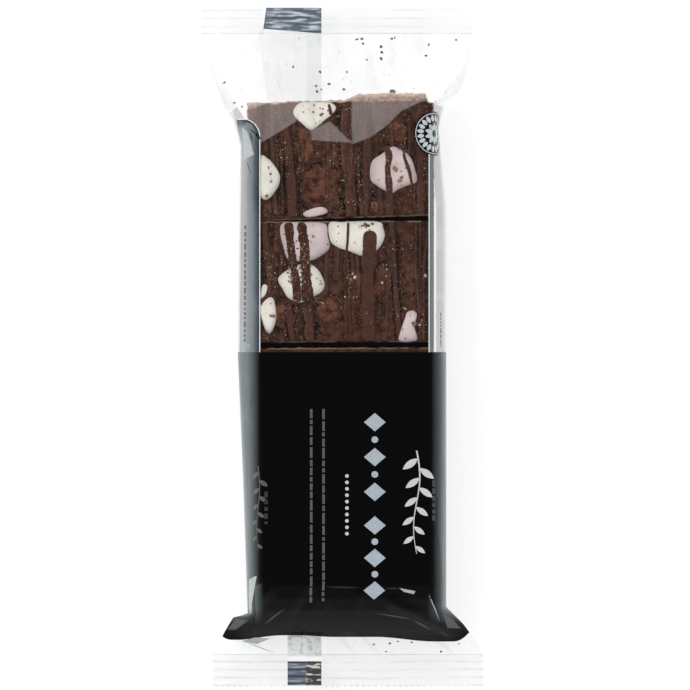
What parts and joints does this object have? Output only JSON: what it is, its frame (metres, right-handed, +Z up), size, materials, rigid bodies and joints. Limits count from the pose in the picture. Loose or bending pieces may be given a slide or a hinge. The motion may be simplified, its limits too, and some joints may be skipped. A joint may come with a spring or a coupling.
{
  "type": "film-wrapped chocolate biscuit cake",
  "caption": "Sealed film flow pack of chocolate biscuit cake bars with marshmallows, with crimped end seals, a black printed sleeve and a clear window over the cake.",
  "frame": {"origin": "on the surface the pack lies on, under the middle of its bounding box", "axes": "+Y along the pack towards the end with the clear window, +X to the right seen from above, +Z up out of the printed face"},
  "size_m": [0.1014, 0.2462, 0.027],
  "materials": {
    "film": "glossy clear film with black print",
    "chocolate": "satin dark milk chocolate with a crumbly cut edge",
    "marshmallow_white": "soft matt",
    "marshmallow_pink": "soft matt"
  },
  "bodies": {
    "root": {"film_pack": "film"}
  },
  "joints": []
}
